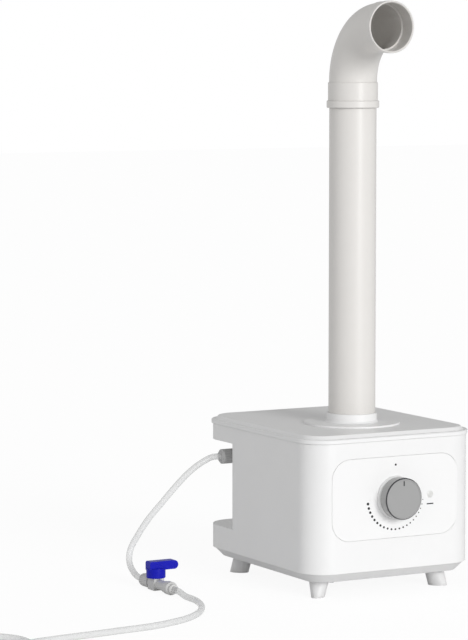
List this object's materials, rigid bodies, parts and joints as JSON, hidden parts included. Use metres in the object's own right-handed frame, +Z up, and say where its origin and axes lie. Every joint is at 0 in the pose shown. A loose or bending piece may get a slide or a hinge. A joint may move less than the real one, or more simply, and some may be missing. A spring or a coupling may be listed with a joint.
{
  "type": "cool mist humidifier",
  "caption": "Cabinet humidifier on splayed feet: tall mist duct with a swivelling elbow, dial panel, rear recess with water inlet, shut-off valve and supply tube.",
  "frame": {"origin": "on the floor, under the middle of the outline of the cabinet with its knob, supply line left out", "axes": "+Z up, front panel and duct outlet towards -Y, water inlet towards -X at the back"},
  "size_m": [0.9705, 0.5824, 0.9302],
  "materials": {
    "white_plastic": "satin moulded",
    "panel_plastic": "smooth",
    "rubber": "matt",
    "pale_rubber": "matt",
    "steel": "plain",
    "ivory_pvc": "satin extruded",
    "print_black": "printed",
    "knob_grey": "satin lacquer",
    "dark_plastic": "matt",
    "lens": "frosted",
    "board_green": "solder mask",
    "tank_plastic": "clear moulded",
    "disc_brass": "plated",
    "float_blue": "moulded",
    "impeller_grey": "moulded",
    "fitting_grey": "acetal",
    "valve_white": "acetal",
    "lever_blue": "moulded",
    "tube_clear": "milky clear tube"
  },
  "bodies": {
    "cabinet": {"housing_shell": "white_plastic", "rear_panel": "white_plastic", "base_pan": "white_plastic", "base_screws": "steel", "foot_front_left": "white_plastic", "foot_front_right": "white_plastic", "foot_rear_left": "white_plastic", "foot_rear_right": "white_plastic", "foot_pads": "pale_rubber", "foot_screws": "steel", "front_panel": "panel_plastic", "dial_marks": "print_black", "dial_collar": "white_plastic", "potentiometer_body": "dark_plastic", "potentiometer_nut": "steel", "led_lens": "lens", "control_board": "board_green", "water_tank": "tank_plastic", "transducer_housing": "steel", "transducer_rings": "rubber", "transducer_discs": "disc_brass", "float_valve_body": "white_plastic", "float_pin": "steel", "blower_housing": "dark_plastic", "blower_motor": "steel", "air_duct": "dark_plastic", "power_supply": "steel", "driver_board": "board_green", "mains_inlet": "dark_plastic", "mains_inlet_screws": "steel", "inlet_washer": "rubber", "inlet_lock_nut": "fitting_grey", "inlet_elbow": "fitting_grey", "inlet_nut": "fitting_grey", "drain_pipe": "white_plastic", "intake_grille": "white_plastic", "valve_body": "valve_white", "valve_inlet_nut": "valve_white", "valve_outlet_nut": "valve_white", "supply_tube_upper": "tube_clear", "supply_tube_lower": "tube_clear", "supply_tube_coil": "tube_clear", "supply_tube_tail": "tube_clear", "tap_adapter": "fitting_grey"},
    "lid": {"lid": "white_plastic", "lid_seal": "rubber", "duct_flange": "white_plastic", "duct_flange_nut": "white_plastic"},
    "duct": {"duct_pipe": "ivory_pvc"},
    "elbow": {"elbow": "ivory_pvc"},
    "knob": {"control_knob": "knob_grey", "knob_pointer": "print_black", "potentiometer_shaft": "steel"},
    "float": {"float_arm": "white_plastic", "float_ball": "float_blue"},
    "plunger": {"float_plunger": "rubber"},
    "impeller": {"blower_impeller": "impeller_grey"},
    "drain_plug": {"drain_plug": "rubber"},
    "lever": {"valve_handle": "lever_blue", "valve_stem": "disc_brass"}
  },
  "joints": [
    {"name": "lid_lift", "type": "slide", "parent": "cabinet", "child": "lid", "axis": [0, 0, 1], "range_m": [0, 0.08]},
    {"name": "duct_pull", "type": "slide", "parent": "lid", "child": "duct", "axis": [0, 0, 1], "range_m": [0, 0.03]},
    {"name": "elbow_swivel", "type": "hinge", "parent": "duct", "child": "elbow", "pos_m": [0, -0.03225, 0.7825], "axis": [0, 0, 1], "continuous": true},
    {"name": "knob_turn", "type": "hinge", "parent": "cabinet", "child": "knob", "pos_m": [0, -0.17625, 0.15674], "axis": [0, 1, 0], "range_deg": [0, 262]},
    {"name": "float_swing", "type": "hinge", "parent": "cabinet", "child": "float", "pos_m": [-0.112, 0.07675, 0.18109], "axis": [1, 0, 0], "range_deg": [-12, 0]},
    {"name": "plunger_slide", "type": "slide", "parent": "cabinet", "child": "plunger", "axis": [0, 0, 1], "range_m": [0, 0.003]},
    {"name": "impeller_spin", "type": "hinge", "parent": "cabinet", "child": "impeller", "pos_m": [0.102, -0.04825, 0.1305], "axis": [1, 0, 0], "continuous": true},
    {"name": "drain_pull", "type": "slide", "parent": "cabinet", "child": "drain_plug", "axis": [0, 1, 0], "range_m": [0, 0.02]},
    {"name": "lever_turn", "type": "hinge", "parent": "cabinet", "child": "lever", "pos_m": [-0.306, 0.05975, 0.02], "axis": [0, 0, 1], "range_deg": [0, 90]}
  ],
  "couplings": [
    {"joint": "plunger_slide", "follows": "float_swing", "m_per_rad": -0.013}
  ]
}
